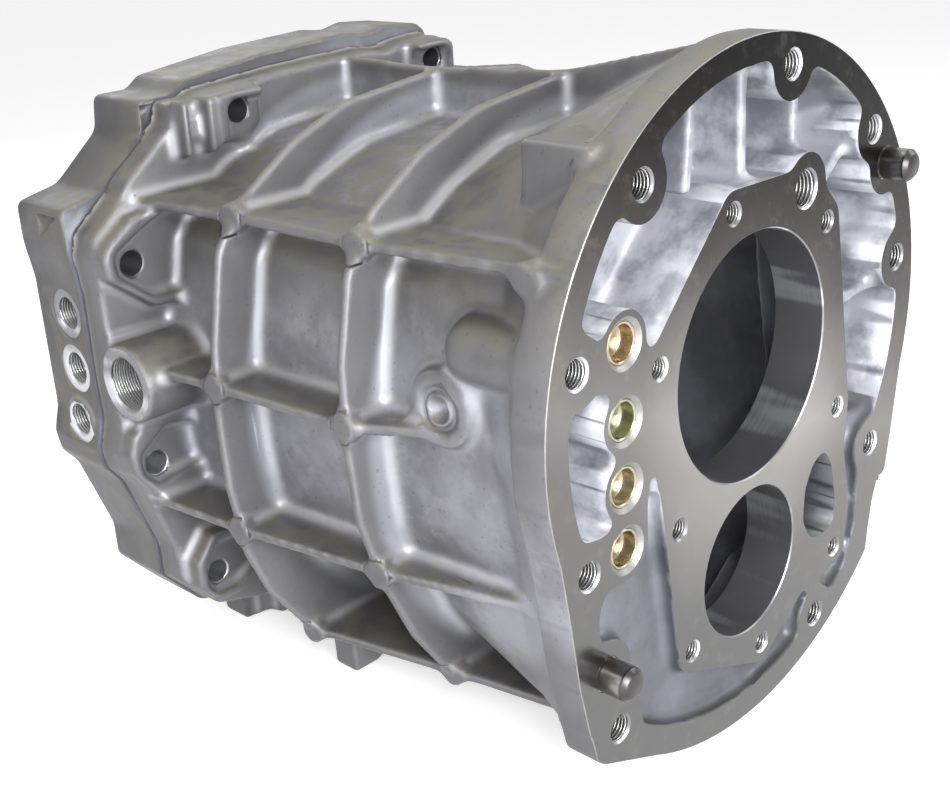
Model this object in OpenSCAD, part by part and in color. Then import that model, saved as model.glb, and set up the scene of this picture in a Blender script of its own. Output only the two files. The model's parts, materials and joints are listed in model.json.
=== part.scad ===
// Front case of a manual gearbox: one aluminium casting, two dowel pins and four cup plugs.
// The front face is the plane y = 0, looking along +y into the case, and z is up.
// The origin is the centre of the input shaft's bearing bore on that face.

/* [Bearing bores] */
// Diameter of the input shaft's bearing bore
input_bore_d = 120; // [100:1:122]
// Diameter of the countershaft's bearing bore
counter_bore_d = 77; // [60:1:80]
// Distance from the input shaft down to the countershaft
shaft_distance = 106; // [104:1:112]
// Thickness of the wall that holds the bearings
bearing_wall = 24; // [18:1:30]

/* [Front flange] */
// Radius of the round part of the front flange
flange_r = 149; // [147:1:156]
// Thickness of the front flange
flange_t = 20; // [16:1:26]
// Width of the machined rim of the front flange
rim_w = 16; // [13:1:19]
// Depth of the large pockets in the front face
pocket_depth = 36; // [28:1:40]
// Depth of the shallow recess below the bearing bores
recess_depth = 8; // [4:1:12]
// Thickness of the webs across the front pockets
web_t = 6; // [4:1:9]

/* [Body] */
// Length of the case from the front face to the rear face
case_length = 325; // [310:1:345]
// Width of the case over its rear flange
case_width = 358; // [352:1:366]
// Thickness of the cast walls
wall = 8; // [6:1:10]
// How far the bell's waist stands in from the front flange's outline
bell_waist_inset = 16; // [12:1:18]
// Height of the ribs above the body's skin
rib_height = 26; // [18:1:28]
// Thickness of the ribs at their crest
rib_t = 5; // [4:0.5:8]
// Diameter of the round buttons where the ribs cross
button_d = 15; // [12:1:20]
// Distance from the front face to the front ring rib
front_ring_y = 110; // [96:1:120]
// Distance from the front face to the rear ring rib
rear_ring_y = 198; // [185:1:210]
// Level of the ground under the feet, below the input shaft
foot_drop = 195; // [195:1:202]

/* [Rear flange] */
// Thickness of the rear flange behind its step
rear_flange_t = 42; // [34:1:50]
// Thickness of the bolting flange in front of the step
step_flange_t = 16; // [12:1:22]
// Height of the lips round the long bolts' pads
plate_lip = 6; // [4:0.5:8]
// Depth of the groove behind the bolting flange
seam_depth = 2.5; // [1:0.5:4]
// Depth of the triangular pockets in the ears
ear_pocket = 5; // [2:0.5:8]

/* [Holes] */
// Core diameter of the threads round the front flange
flange_thread_d = 11.4; // [9:0.1:13]
// Core diameter of the threads for the bearing retainer
retainer_thread_d = 8.6; // [7:0.1:11]
// Core diameter of the large thread beside the input shaft
pivot_thread_d = 16; // [12:0.5:18]
// Core diameter of the filler plug's thread
filler_thread_d = 27; // [20:0.5:30]
// Core diameter of the switch threads in the side of the rear flange
switch_thread_d = 16; // [12:0.5:18]
// Diameter of the long bolts' clearance holes in the rear flange
rear_bolt_d = 13; // [10:0.5:15]
// Diameter of the bores that the cup plugs close
plug_bore_d = 19; // [16:0.5:22]
// Diameter of the shift rails' bores behind the plugs
rail_bore_d = 15; // [12:0.5:15.5]
// Width of the chamfer at each threaded hole's mouth
mouth_chamfer = 1.6; // [0.8:0.1:2]

/* [Pins and plugs] */
// Diameter of the dowel pins
dowel_d = 16; // [12:0.5:18]
// How much wider the dowel pins' pressed ends are
dowel_step = 0.5; // [0.4:0.1:1]
// How far the dowel pins stand out of the front face
dowel_stand = 15; // [8:1:20]
// Depth of the dowel pins' bores
dowel_depth = 16; // [10:1:18]
// Clearance round the dowel pins and cup plugs
fit_clearance = 0.05; // [0.02:0.01:0.1]
// Wall thickness of the cup plugs
plug_wall = 1.6; // [1:0.1:2]
// Length of the cup plugs
plug_len = 9; // [7:0.5:11]
// How far the cup plugs sit below the front face
plug_sink = 1.5; // [1.5:0.1:3]

/* [Hidden] */

$fn = 64;
eps = 0.01;
far = 500;
input_r = input_bore_d / 2;
counter_r = counter_bore_d / 2;
counter_z = -shaft_distance;

// The lower lobe of the flange is an arc about this centre
lobe_z = -25;
lobe_r = foot_drop + lobe_z;
step_y = case_length - rear_flange_t;
step_front_y = step_y - step_flange_t;
cavity_y = pocket_depth + wall;
widening = case_width / 358;
side_x = -178 * widening;
rear_rib_y = step_front_y + eps;
boss_r = rim_w;

function polar(r, a) = [r * cos(a), r * sin(a)];
function lobe(r, a) = [r * cos(a), lobe_z + r * sin(a)];
function below(p) = [p[0], counter_z + p[1]];
function widened(points) = [for (p = points) [p[0] * widening, p[1]]];

// Threads round the front flange: upper ones about the input shaft, lower ones about the lobe
rim_bolts = [
    polar(flange_r - 17, 79),
    polar(flange_r - 20, 130.6),
    polar(flange_r - 18, 166.3),
    polar(flange_r - 12, 206.4),
    polar(flange_r - 15, 41),
    polar(flange_r - 16, 7),
    polar(flange_r - 7, -36),
    lobe(lobe_r - 10, 229.6),
    lobe(lobe_r - 16, -65.5),
];

// Threads for the bearing retainer: the first five about the input bore, the rest about the counter bore
retainer_bolts = [
    polar(input_r + 15, 167),
    polar(input_r + 14.5, 105),
    polar(input_r + 19, 40.4),
    polar(input_r + 32.6, -32.7),
    below(polar(counter_r + 46.5, -17.8)),
    below(polar(counter_r + 15, -76.8)),
    below(polar(counter_r + 17, 210)),
    below(polar(counter_r + 33, 145)),
];
pivot_hole = polar(input_r + 21.5, 60.6);
window_points = [[67, -70], [56, -74], [49, -86], [48, -104], [56, -117], [66, -119], [79, -118], [80, -104], [75, -82]];

plug_x = -97;
plug_levels = [35, 1, -29.5, -59];
plug_boss_r = plug_bore_d / 2 + 5;

upper_dowel_at = polar(flange_r - 15, 31);
lower_dowel_at = lobe(lobe_r - 27, 218.5);

// Crest outlines of the two ring ribs, seen from the front, clockwise from the top
front_crest = [
    [0, 124], [-62, 117], [-101, 103], [-133, 83], [-149, 59], [-157, 20],
    [-158, -20], [-155, -57], [-144, -93], [-127, -130], [-105, -162], [-60, -180],
    [0, -186], [60, -180], [104, -158], [128, -128], [144, -93], [153, -57],
    [156, -20], [155, 20], [148, 55], [132, 83], [101, 103], [62, 117],
];
rear_crest = widened([
    [0, 120], [-65, 113], [-102, 99], [-135, 78], [-152, 57], [-161, 12],
    [-164, -20], [-163, -62], [-157, -101], [-146, -128], [-121, -163], [-65, -182],
    [0, -187], [65, -182], [115, -160], [140, -128], [154, -96], [160, -60],
    [162, -20], [160, 12], [152, 52], [135, 80], [102, 99], [65, 113],
]);

// Rear flange outline with its ears
rear_outline = widened([
    [76, 104], [76, 126], [70, 131], [44, 133], [30, 130], [14, 132], [-44, 129], [-100, 122],
    [-108, 116], [-128, 116], [-130, 98], [-157, 75], [-181, 70], [-181, 50], [-178, 30],
    [-178, -42], [-182, -56], [-180, -68], [-172, -78], [-157, -122], [-157, -142],
    [-133, -169], [-104, -178], [0, -186], [104, -178], [140, -160], [158, -125], [174, -80],
    [176, 34], [164, 62], [140, 88], [112, 100],
]);

// Outline of the bolting flange in front of the step, which leaves the ears free
step_outline = widened([
    [74, 102], [74, 121], [69, 125], [44, 124], [30, 121], [14, 123], [-44, 121], [-100, 117],
    [-108, 114], [-120, 114], [-122, 105], [-133, 95], [-152, 80], [-158, 72], [-175, 58],
    [-178, 48], [-176, 30], [-176, -42], [-180, -56], [-178, -67], [-170, -78], [-155, -122],
    [-155, -141], [-131, -167], [-104, -175], [0, -183], [104, -175], [138, -158], [156, -124],
    [172, -79], [173, 33], [161, 61], [138, 86], [110, 97],
]);

// Long bolts through the rear flange
rear_bolts = widened([
    [-158, 42], [-83, 106], [-161, -66], [-133, -143], [59, 113], [150, 52], [160, -66], [132, -144],
]);

// Plates round the bolts' pads, from the bolt, as on the left side: side wall above and below, top, lower corner
bolt_plates = [
    [[-20, -2], [-20, 7], [-14, 14], [0, 24], [18, 27], [40, 24], [40, -24], [8, -24]],
    [[-15, 11], [-15, -14], [4, -16], [14, -8], [14, 11]],
    [[-18, -3], [-20, 9], [-16, 20], [-3, 27], [34, 24], [34, -16], [-8, -16]],
    [[-16, 12], [-16, -8], [-8, -16], [12, -16], [30, 0], [30, 26], [-4, 26]],
];
bolt_recesses = [
    [[-12, -4], [-13, 8], [4, 17], [20, 24.5], [44, 21], [44, -19], [7, -19]],
    [[-10, 7], [-10, -18], [16, -18], [16, 7]],
    [[-11, -3], [-12, 9], [6, 22], [38, 16], [38, -4], [-3, -10]],
    [[-10, 9], [-10, -5], [-5, -11], [10, -11], [34, 3], [34, 21], [-1, 21]],
];
plate_kinds = [0, 1, 2, 3, 1, 0, 2, 3];

// Levels of the ribs that run along the sides
side_ribs = [70, -9, -87, -163];

// A flat shape in x and z, made solid from y0 to y1
module along(y0, y1) {
    translate([0, y1, 0])
        rotate([90, 0, 0])
            linear_extrude(y1 - y0)
                children();
}

// A round solid along y
module rod(p, d, y0, y1) {
    translate([p[0], y1, p[1]])
        rotate([90, 0, 0])
            cylinder(d = d, h = y1 - y0);
}

// A bore along y with a chamfered mouth on the front face
module front_hole(p, d, depth, chamfer) {
    translate([p[0], depth, p[1]])
        rotate([90, 0, 0])
            cylinder(d = d, h = depth + 1);
    translate([p[0], chamfer, p[1]])
        rotate([90, 0, 0])
            cylinder(d1 = d, d2 = d + 2 * chamfer + 0.2, h = chamfer + 0.1);
}

module flange_shape() {
    offset(r = 5)
        offset(delta = -5) {
            translate([1, -3])
                circle(r = flange_r, $fn = 128);
            intersection() {
                translate([0, lobe_z])
                    circle(r = lobe_r, $fn = 128);
                polygon([
                    [-144, -30], [-136, -77], [-131, -112], [-122, -152], [-122, -210], [110, -210],
                    [118, -137], [122, -114], [126, -107], [133, -109], [138, -82], [146, -30],
                ]);
            }
            polygon([[-131, -112], [-120, -156], [-115, -160], [-60, -184], [-60, -112]]);
        }
}

// Everything inside the rim, less the bosses round its holes
module rim_opening() {
    offset(r = 5)
        offset(r = -8)
            offset(r = 3)
                difference() {
                    union() {
                        circle(r = flange_r - rim_w + 1, $fn = 128);
                        intersection() {
                            translate([0, lobe_z])
                                circle(r = lobe_r - 15, $fn = 128);
                            polygon([
                                [-117, -60], [-117, -108], [-94, -122], [-88, -150], [-84, -210],
                                [86, -210], [94, -146], [103, -127], [103, -60],
                            ]);
                        }
                    }
                    for (p = rim_bolts)
                        translate(p)
                            circle(r = boss_r);
                    for (p = [upper_dowel_at, lower_dowel_at])
                        translate(p)
                            circle(r = dowel_d / 2 + 8);
                }
}

// The machined pad round both bearing bores
module pad_area() {
    offset(r = -7)
        offset(r = 7)
            union() {
                circle(r = input_r + 14.5, $fn = 96);
                translate(pivot_hole)
                    circle(r = pivot_thread_d / 2 + 9);
                offset(r = 10.5)
                    polygon([
                        retainer_bolts[0], retainer_bolts[1], pivot_hole, retainer_bolts[2],
                        retainer_bolts[3], [76, -78], [84, -112], retainer_bolts[4],
                        [46, -135], retainer_bolts[5], retainer_bolts[6], retainer_bolts[7],
                    ]);
            }
}

// The machined column round the cup plugs, with its links to the pad and the rim
module column_area() {
    offset(r = -4)
        offset(r = 4)
            union() {
                for (z = plug_levels)
                    translate([plug_x, z])
                        circle(r = plug_boss_r);
                translate([plug_x, plug_levels[3]])
                    square([plug_boss_r, plug_levels[0] - plug_levels[3]]);
                polygon([[plug_x, plug_levels[0] - 3], [-70, 26], [-70, -6], [plug_x, -12]]);
                polygon([[plug_x, -46], [-140, -46], [-140, -110], [-117, -104], [-117, -82], [-112, -73], [plug_x, -73]]);
                polygon([[plug_x, 24], [plug_x, 14], [-134, 24], [-134, 40], [-118, 38]]);
            }
}

// Face level areas inside the rim
module face_areas() {
    pad_area();
    column_area();
}

module front_pockets() {
    difference() {
        rim_opening();
        face_areas();
    }
}

// The part of the face whose pockets are deep
module deep_zone() {
    polygon([
        [-150, -48], [-104, -48], [-104, 10], [-60, 10], [60, 10], [60, -64],
        [150, -64], [150, 150], [-150, 150],
    ]);
}

// Webs across the deep pockets, from the pad to the rim
module pocket_webs() {
    along(3, cavity_y) {
        for (w = [[[-42, 84], [-37, 136]], [[0, 76], [-1, 142]], [[43, 80], [42, 136]]])
            web(w[0], w[1]);
        web([60, 60], [98, 89]);
        web([70, 1], [140, 4]);
    }
}

// A flat web between two points
module web(a, b) {
    run = b - a;
    translate(a)
        rotate(atan2(run[1], run[0]))
            translate([0, -web_t / 2])
                square([norm(run), web_t]);
}

// Skin of the body, inset from the ribs' crests, as a loft between two sections
module body_loft(inset) {
    hull() {
        along(0, 1)
            intersection() {
                offset(delta = -inset - 3)
                    polygon(front_crest);
                circle(r = flange_r - 8);
            }
        along(case_length - 1, case_length)
            offset(delta = -inset + 3)
                polygon(rear_crest);
    }
}

// Waist of the bell, where its flare ends and its barrel begins
module bell_waist(inset) {
    along(cavity_y, cavity_y + 1)
        offset(delta = -bell_waist_inset - inset)
            flange_shape();
}

// The flare from the waist out to the front flange
module bell_flare(inset) {
    hull() {
        along(0, flange_t - inset / 2)
            offset(delta = -6 - inset)
                flange_shape();
        bell_waist(inset);
    }
}

// The barrel from the waist back to the front ring rib
module bell_barrel(inset) {
    hull() {
        bell_waist(inset);
        along(front_ring_y - 4, front_ring_y)
            offset(delta = -rib_height - inset)
                polygon(front_crest);
    }
}

module ring(outline, y) {
    along(y - rib_t / 2, y + rib_t / 2)
        offset(r = 20)
            offset(delta = -20)
                polygon(outline);
}

// Crest's reach to the left and right of each side rib, by station
function reach(z, pts, side) =
    let (n = len(pts))
    max([for (i = [0 : n - 1])
        let (a = pts[i], b = pts[(i + 1) % n])
        (a[1] - z) * (b[1] - z) <= 0 && a[1] != b[1]
            ? side * (a[0] + (b[0] - a[0]) * (z - a[1]) / (b[1] - a[1]))
            : 0]);

// The front flange's reach to the left and right at each side rib
function flange_reach(z) = min(sqrt(pow(flange_r - 2, 2) - pow(min(abs(z), 120), 2)), flange_r - 2);

module side_rib(z, side, start = 4, whole = true) {
    front_reach = start > 4 ? abs(dimple_at[0]) : flange_reach(z);
    translate([0, 0, z - rib_t / 2])
        linear_extrude(rib_t)
            polygon([
                [0, start],
                [side * front_reach, start],
                [side * reach(z, front_crest, side), front_ring_y],
                [side * reach(z, rear_crest, side), rear_ring_y],
                [side * (reach(z, rear_crest, side) + (whole ? 6 : 0)), whole ? rear_rib_y : rear_ring_y],
                [0, whole ? rear_rib_y : rear_ring_y],
            ]);
}

// Round button where a side rib crosses a ring rib
module button(x, y, z) {
    translate([x > 0 ? x - 6 : x, y, z])
        rotate([0, 90, 0])
            cylinder(d = button_d, h = 6);
}

module ribs() {
    ring(front_crest, front_ring_y);
    ring(rear_crest, rear_ring_y);
    for (z = side_ribs)
        for (side = [-1, 1]) {
            side_rib(z, side, z == side_ribs[1] && side < 0 ? dimple_at[1] : 4, z != side_ribs[3]);
            button(side * (reach(z, front_crest, side) + 1), front_ring_y, z);
            button(side * (reach(z, rear_crest, side) + 1), rear_ring_y, z);
        }
    for (side = [-1, 1])
        button(side * (flange_reach(side_ribs[0]) + 4), flange_t + 2, side_ribs[0] - 3);
}

// The long top rib, flaring up to the flange
module top_rib() {
    translate([-rib_t / 2, 0, 0])
        rotate([90, 0, 90])
            linear_extrude(rib_t)
                polygon([
                    [4, 60], [4, flange_r - 6], [flange_t, flange_r - 6], [front_ring_y, 124],
                    [rear_ring_y, 120], [rear_rib_y, 122], [rear_rib_y, 60],
                ]);
}

module rear_flange() {
    seam_w = 1.2;
    difference() {
        along(step_y, case_length)
            offset(r = 4)
                offset(delta = -4)
                    polygon(rear_outline);
        ear_pockets();
    }
    along(step_front_y, step_y - seam_w)
        offset(r = 3)
            offset(delta = -3)
                polygon(step_outline);
    along(step_y - seam_w - eps, step_y + eps)
        offset(delta = -seam_depth)
            polygon(step_outline);
}

// Triangular pockets: in the upper ear's front and in the lower ear's side
module ear_pockets() {
    along(step_y - 1, step_y + ear_pocket + 3)
        polygon(widened([[-127.5, 113], [-120.5, 112.5], [-127.5, 101.5]]));
    translate([side_x - 4, step_y, 0])
        rotate([90, 0, 90])
            linear_extrude(ear_pocket)
                polygon([[4, 66.5], [25, 66.5], [24, 54]]);
}

// A flat shape at each long bolt, mirrored on the right side
module at_bolts(shapes) {
    for (i = [0 : len(rear_bolts) - 1])
        let (side = rear_bolts[i][0] > 0 ? -1 : 1)
            translate(rear_bolts[i])
                polygon([for (p = shapes[plate_kinds[i]]) [side * p[0], p[1]]]);
}

// Pads that the long bolts' heads bear on, in plates with raised lips
module bolt_pads() {
    pad_y = step_front_y - 5;
    difference() {
        along(pad_y - plate_lip, step_front_y + eps)
            intersection() {
                at_bolts(bolt_plates);
                offset(delta = -1)
                    polygon(step_outline);
            }
        along(pad_y - plate_lip - 1, pad_y)
            at_bolts(bolt_recesses);
    }
    for (p = rear_bolts)
        rod(p, rear_bolt_d + 11, pad_y, step_y);
    // Short webs beside the top pad
    for (x = [-103, -118])
        translate([x * widening - 2, pad_y - plate_lip, 88])
            cube([4, 12, 28]);
}

// Feet under the rear half of the case: a grooved pair at the flange and a tapered pair at the rear ring
module feet() {
    for (side = [-1, 1]) {
        for (x = [79, 97])
            translate([side * x - 8, step_front_y + (x > 80 ? 14 : 3), -foot_drop])
                cube([16, 22, 40]);
        translate([side * 88 - 8, step_front_y + 8, -foot_drop + 3])
            cube([16, 22, 37]);
        translate([0, rear_ring_y + 6, 0])
            rotate([90, 0, 0])
                linear_extrude(18)
                    polygon([
                        [side * 104, -160], [side * 102, -foot_drop], [side * 84, -foot_drop],
                        [side * 58, -176], [side * 58, -160],
                    ]);
    }
}

module side_bosses() {
    // Blind end of the thread beside the plugs
    rod(rim_bolts[2], 30, 0, 52);
    translate([rim_bolts[2][0], 52, rim_bolts[2][1]])
        sphere(r = 15);
    // Square boss behind the upper left thread
    translate([rim_bolts[1][0] - 15, flange_t - 4, rim_bolts[1][1] - 14])
        cube([36, 36, 30]);
    // Filler plug boss
    translate([filler_at[0], filler_at[1], filler_at[2]])
        rotate([0, 90, 0])
            cylinder(d = filler_thread_d + 14, h = 60);
    // Dimpled boss between the flange and the front ring
    translate(dimple_at)
        rotate([0, 90, 0])
            cylinder(d = 36, h = 30);
}

filler_at = [side_x + 1, step_front_y - 13, -15.5];
dimple_at = [-138, 69, 3];

module cavity() {
    intersection() {
        body_loft(rib_height + wall);
        along(cavity_y, case_length + 1)
            square(far, center = true);
    }
    bell_barrel(wall);
    along(bearing_wall, cavity_y + 1)
        offset(r = 4)
            offset(delta = -wall - 4)
                pad_area();
}

module front_recesses() {
    along(-1, recess_depth)
        front_pockets();
    difference() {
        intersection() {
            along(-1, pocket_depth)
                intersection() {
                    front_pockets();
                    offset(r = 4)
                        offset(delta = -4)
                            deep_zone();
                }
            bell_flare(wall - 1);
        }
        pocket_webs();
    }
}

module case_holes() {
    along(-1, bearing_wall + 2)
        circle(r = input_r, $fn = 128);
    along(-1, bearing_wall + 2)
        translate([0, counter_z])
            circle(r = counter_r, $fn = 96);
    along(-1, bearing_wall + 2)
        offset(r = 6)
            offset(delta = -6)
                polygon(window_points);
    for (p = rim_bolts)
        front_hole(p, flange_thread_d, flange_t + 4, mouth_chamfer);
    for (p = retainer_bolts)
        front_hole(p, retainer_thread_d, 18, mouth_chamfer * 0.8);
    front_hole(pivot_hole, pivot_thread_d, 20, mouth_chamfer);
    for (z = plug_levels) {
        front_hole([plug_x, z], plug_bore_d, plug_sink + plug_len + 1, 1.4);
        rod([plug_x, z], rail_bore_d, plug_sink + plug_len, cavity_y + 4);
    }
    for (p = [upper_dowel_at, lower_dowel_at])
        front_hole(p, dowel_d + dowel_step + 2 * fit_clearance, dowel_depth, 0.8);
    for (p = rear_bolts)
        rod(p, rear_bolt_d, step_front_y - 6, case_length + 1);
    for (z = [14, -16, -44])
        translate([side_x - 7, step_y + 16, z])
            rotate([0, 90, 0])
                cylinder(d = switch_thread_d, h = 30);
    translate([filler_at[0] - 1, filler_at[1], filler_at[2]])
        rotate([0, 90, 0])
            cylinder(d = filler_thread_d, h = 60);
    // Dimple and the groove round its hub
    translate([dimple_at[0] - 1, dimple_at[1], dimple_at[2]])
        rotate([0, 90, 0]) {
            cylinder(d = 10, h = 7);
            difference() {
                cylinder(d = 21, h = 3);
                cylinder(d = 14, h = 4);
            }
        }
}

module case() {
    color("silver")
        difference() {
            union() {
                along(0, flange_t)
                    flange_shape();
                difference() {
                    body_loft(rib_height);
                    along(-1, 4)
                        square(far, center = true);
                }
                bell_flare(0);
                bell_barrel(0);
                ribs();
                top_rib();
                rear_flange();
                bolt_pads();
                feet();
                side_bosses();
            }
            cavity();
            front_recesses();
            case_holes();
        }
}

module dowel(at) {
    r = dowel_d / 2;
    wide_r = r + dowel_step / 2;
    face = dowel_depth - 0.5;
    tip = face + dowel_stand;
    color("gainsboro")
        translate([at[0], face, at[1]])
            rotate([90, 0, 0])
                rotate_extrude()
                    polygon([
                        [0, 0], [wide_r - 1, 0], [wide_r, 1], [wide_r, face - 0.6], [r - 0.6, face - 0.6],
                        [r - 0.6, face + 0.4], [r, face + 0.4], [r, tip - 2], [r - 2, tip], [0, tip],
                    ]);
}

module rail_plug(i) {
    r = plug_bore_d / 2 - fit_clearance;
    color("darkgoldenrod")
        translate([plug_x, plug_sink + plug_len, plug_levels[i]])
            rotate([90, 0, 0])
                rotate_extrude()
                    polygon([
                        [0, 0], [r - 1, 0], [r, 1], [r, plug_len],
                        [r - plug_wall, plug_len], [r - plug_wall, plug_wall + 1],
                        [r - plug_wall - 1, plug_wall], [0, plug_wall],
                    ]);
}

module upper_dowel() {
    dowel(upper_dowel_at);
}

module lower_dowel() {
    dowel(lower_dowel_at);
}

case();
upper_dowel();
lower_dowel();
rail_plug(0);  // rail_plug_1
rail_plug(1);  // rail_plug_2
rail_plug(2);  // rail_plug_3
rail_plug(3);  // rail_plug_4
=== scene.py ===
"""Front case of a manual gearbox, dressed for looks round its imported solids.

The casting is made the way the real one is: a soft-edged blank with stock on its faces, poured from the
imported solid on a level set, and then machined crisp with cutters at the record's holes.
Lengths are in metres.
"""

import json
import math

import bmesh
import bpy
import numpy as np
import openvdb
from mathutils import Matrix, Vector
from mathutils.bvhtree import BVHTree


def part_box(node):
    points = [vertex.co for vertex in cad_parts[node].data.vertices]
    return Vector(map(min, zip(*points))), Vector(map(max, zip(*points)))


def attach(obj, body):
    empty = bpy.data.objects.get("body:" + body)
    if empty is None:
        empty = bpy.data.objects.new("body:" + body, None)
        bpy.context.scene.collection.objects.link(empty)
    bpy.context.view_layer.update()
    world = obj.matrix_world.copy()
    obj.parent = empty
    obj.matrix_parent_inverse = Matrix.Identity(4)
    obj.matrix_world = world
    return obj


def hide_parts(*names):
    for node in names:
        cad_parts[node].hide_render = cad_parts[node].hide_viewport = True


MM = 0.001

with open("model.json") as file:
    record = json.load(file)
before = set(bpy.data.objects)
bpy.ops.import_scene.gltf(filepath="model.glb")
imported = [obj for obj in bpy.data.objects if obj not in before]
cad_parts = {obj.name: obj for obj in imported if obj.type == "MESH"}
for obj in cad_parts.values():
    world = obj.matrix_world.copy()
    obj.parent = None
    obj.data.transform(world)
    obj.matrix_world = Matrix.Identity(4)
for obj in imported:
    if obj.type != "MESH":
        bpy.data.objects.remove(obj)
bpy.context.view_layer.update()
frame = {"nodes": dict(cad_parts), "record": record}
scene = bpy.context.scene
scene.view_settings.view_transform = "Standard"
mounts = {mount["name"]: mount for mount in frame["record"]["mounts"]}

# Planes of the casting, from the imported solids
case_low, case_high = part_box("case")
FRONT_Y = 0.0
REAR_Y = case_high.y
GROUND_Z = case_low.z
BEARING_WALL = 24 * MM
FLANGE_MIDDLE_Z = -33 * MM
MERGE_DISTANCE = 0.005 * MM


# Camera: where the photograph was taken from, and how it was held
CAMERA_AT = Vector((-0.5109, -0.3242, 0.2228))
CAMERA_AZIMUTH = math.radians(-45.19)
CAMERA_ELEVATION = math.radians(21.56)
CAMERA_ROLL = math.radians(-3.29)
SENSOR_W = 36.0
PHOTO_W = 950
FOCAL_PIXELS = 1369.5


def place_camera():
    back = Vector((
        math.sin(CAMERA_AZIMUTH) * math.cos(CAMERA_ELEVATION),
        -math.cos(CAMERA_AZIMUTH) * math.cos(CAMERA_ELEVATION),
        math.sin(CAMERA_ELEVATION),
    ))
    level = Vector((math.cos(CAMERA_AZIMUTH), math.sin(CAMERA_AZIMUTH), 0))
    right = Matrix.Rotation(CAMERA_ROLL, 3, back) @ level
    up = back.cross(right)
    data = bpy.data.cameras.new("photo_camera")
    data.sensor_width = SENSOR_W
    data.lens = SENSOR_W * FOCAL_PIXELS / PHOTO_W
    data.clip_start = 10 * MM
    data.clip_end = 50
    camera = bpy.data.objects.new("photo_camera", data)
    turn = Matrix((right, up, back)).transposed().to_4x4()
    camera.matrix_world = Matrix.Translation(CAMERA_AT) @ turn
    scene.collection.objects.link(camera)
    scene.camera = camera


# Node trees
class Wire:
    """A socket on which Python's arithmetic adds Math nodes."""

    def __init__(self, sheet, socket):
        self.sheet = sheet
        self.socket = socket

    def out(self, name):
        """Another output of the same node."""
        return Wire(self.sheet, self.socket.node.outputs[name])

    def __add__(self, other):
        return self.sheet.maths("ADD", self, other)

    def __radd__(self, other):
        return self.sheet.maths("ADD", other, self)

    def __sub__(self, other):
        return self.sheet.maths("SUBTRACT", self, other)

    def __rsub__(self, other):
        return self.sheet.maths("SUBTRACT", other, self)

    def __mul__(self, other):
        return self.sheet.maths("MULTIPLY", self, other)

    def __pow__(self, other):
        return self.sheet.maths("POWER", self, other)


class Sheet:
    """A node tree that is filled one node at a time."""

    def __init__(self, tree):
        self.tree = tree

    def node(self, kind, settings=None, values=None, output=0):
        """Adds a node: its settings first, then the values or links of its sockets."""
        made = self.tree.nodes.new(kind)
        for name, value in (settings or {}).items():
            if name == "stops":
                self.set_stops(made.color_ramp, value)
            else:
                setattr(made, name, value)
        for name, value in (values or {}).items():
            socket = made.inputs[name]
            if isinstance(value, Wire):
                self.tree.links.new(value.socket, socket)
            else:
                socket.default_value = value
        return Wire(self, made.outputs[output]) if len(made.outputs) else made

    @staticmethod
    def set_stops(ramp, stops):
        while len(ramp.elements) < len(stops):
            ramp.elements.new(0.5)
        for element, (place, colour) in zip(ramp.elements, stops):
            element.position = place
            element.color = (*colour, 1) if isinstance(colour, tuple) else (colour, colour, colour, 1)

    def maths(self, operation, a, b=0.0, clamp=False):
        return self.node("ShaderNodeMath", {"operation": operation, "use_clamp": clamp}, {0: a, 1: b})

    def clamp(self, value):
        return self.maths("ADD", value, 0.0, clamp=True)

    def band(self, value, low, high):
        """0 below low, 1 above high, smooth between."""
        settings = {"interpolation_type": "SMOOTHSTEP"}
        return self.node("ShaderNodeMapRange", settings, {"Value": value, "From Min": low, "From Max": high})

    def colours(self, factor, a, b):
        """Mixes two colours."""
        a = (*a, 1) if isinstance(a, tuple) else a
        b = (*b, 1) if isinstance(b, tuple) else b
        settings = {"data_type": "RGBA"}
        return self.node("ShaderNodeMix", settings, {0: factor, 6: a, 7: b}, output=2)

    def noise(self, place, scale, detail=3.0, rough=0.55):
        values = {"Vector": place, "Scale": scale, "Detail": detail, "Roughness": rough}
        return self.node("ShaderNodeTexNoise", None, values)

    def attribute(self, name):
        return self.node("ShaderNodeAttribute", {"attribute_name": name}, None, output="Fac")

    def stretched(self, place, scale):
        """Coordinates scaled by axis."""
        return self.node("ShaderNodeMapping", None, {"Vector": place, "Scale": scale})

    def bump(self, height, strength, distance, under=None):
        values = {"Height": height, "Strength": strength, "Distance": distance}
        if under is not None:
            values["Normal"] = under
        return self.node("ShaderNodeBump", None, values)


def finish_of(name):
    """An empty material, its sheet and its coordinates on the object."""
    material = bpy.data.materials.new(name)
    material.use_nodes = True
    material.node_tree.nodes.clear()
    sheet = Sheet(material.node_tree)
    place = sheet.node("ShaderNodeTexCoord", None, None, output="Object")
    return material, sheet, place


def surface(sheet, **values):
    """The shader of a finish, and its output."""
    sockets = {name.replace("_", " "): value for name, value in values.items()}
    shader = sheet.node("ShaderNodeBsdfPrincipled", None, sockets)
    sheet.node("ShaderNodeOutputMaterial", None, {"Surface": shader})


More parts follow.
